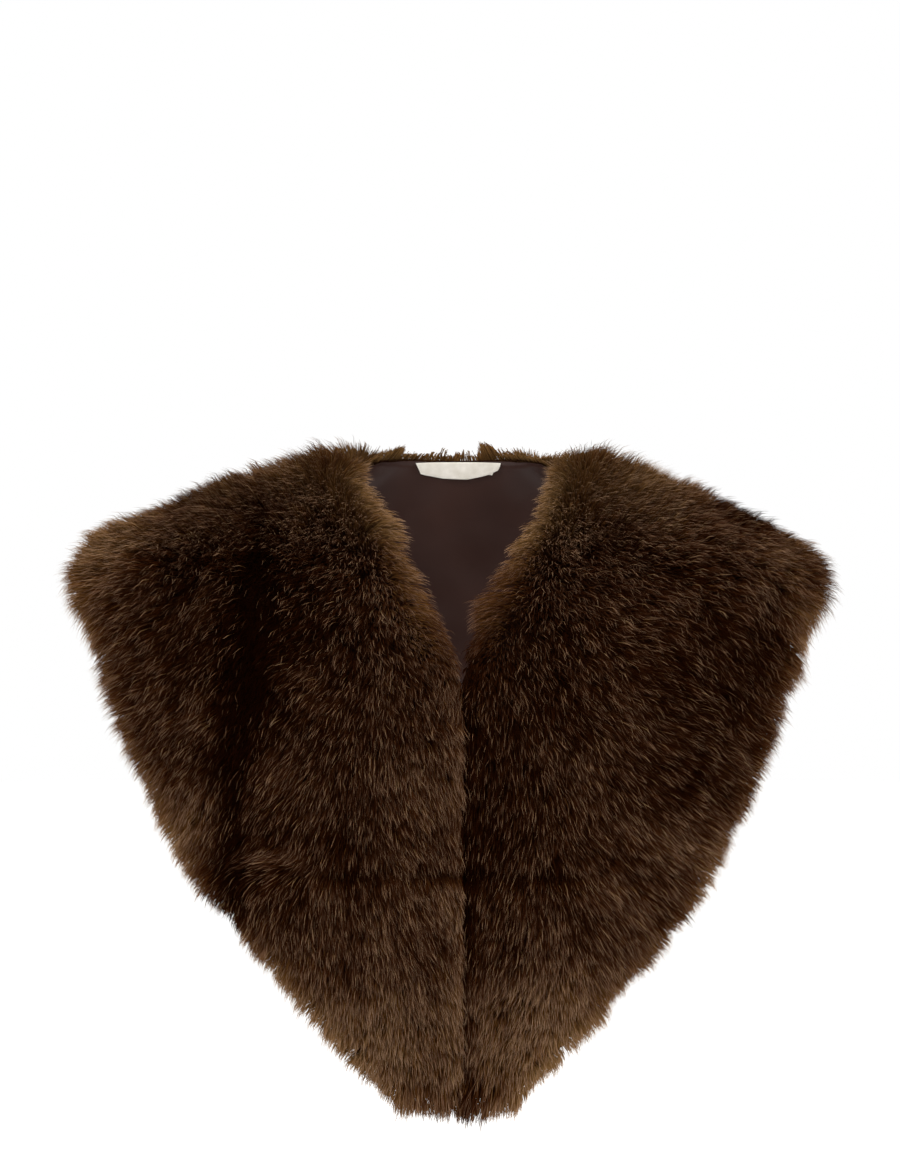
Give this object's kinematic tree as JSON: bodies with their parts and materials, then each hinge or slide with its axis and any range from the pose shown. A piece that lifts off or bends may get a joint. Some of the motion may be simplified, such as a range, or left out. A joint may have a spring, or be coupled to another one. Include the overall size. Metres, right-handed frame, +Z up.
{
  "type": "faux-fur neck warmer",
  "caption": "Faux-fur neck warmer in its worn form: a wide fur strip over the shoulders that meets in a point at the front, with a satin lining.",
  "frame": {"origin": "middle of the wearer's neck, level with the back of the neck edge, where the garment rests on the neck and shoulders", "axes": "+X to the wearer's left, which is the right of the picture; -Y to the front; +Z up"},
  "size_m": [0.5073, 0.2769, 0.4434],
  "materials": {
    "fur": "long soft pile, matt with light guard hairs",
    "lining": "satin",
    "label": "woven, matt, bare"
  },
  "bodies": {
    "root": {"fur_left_main": "fur", "fur_left_tip": "fur", "fur_right_main": "fur", "fur_right_tip": "fur", "lining": "lining", "label": "label"}
  },
  "joints": []
}
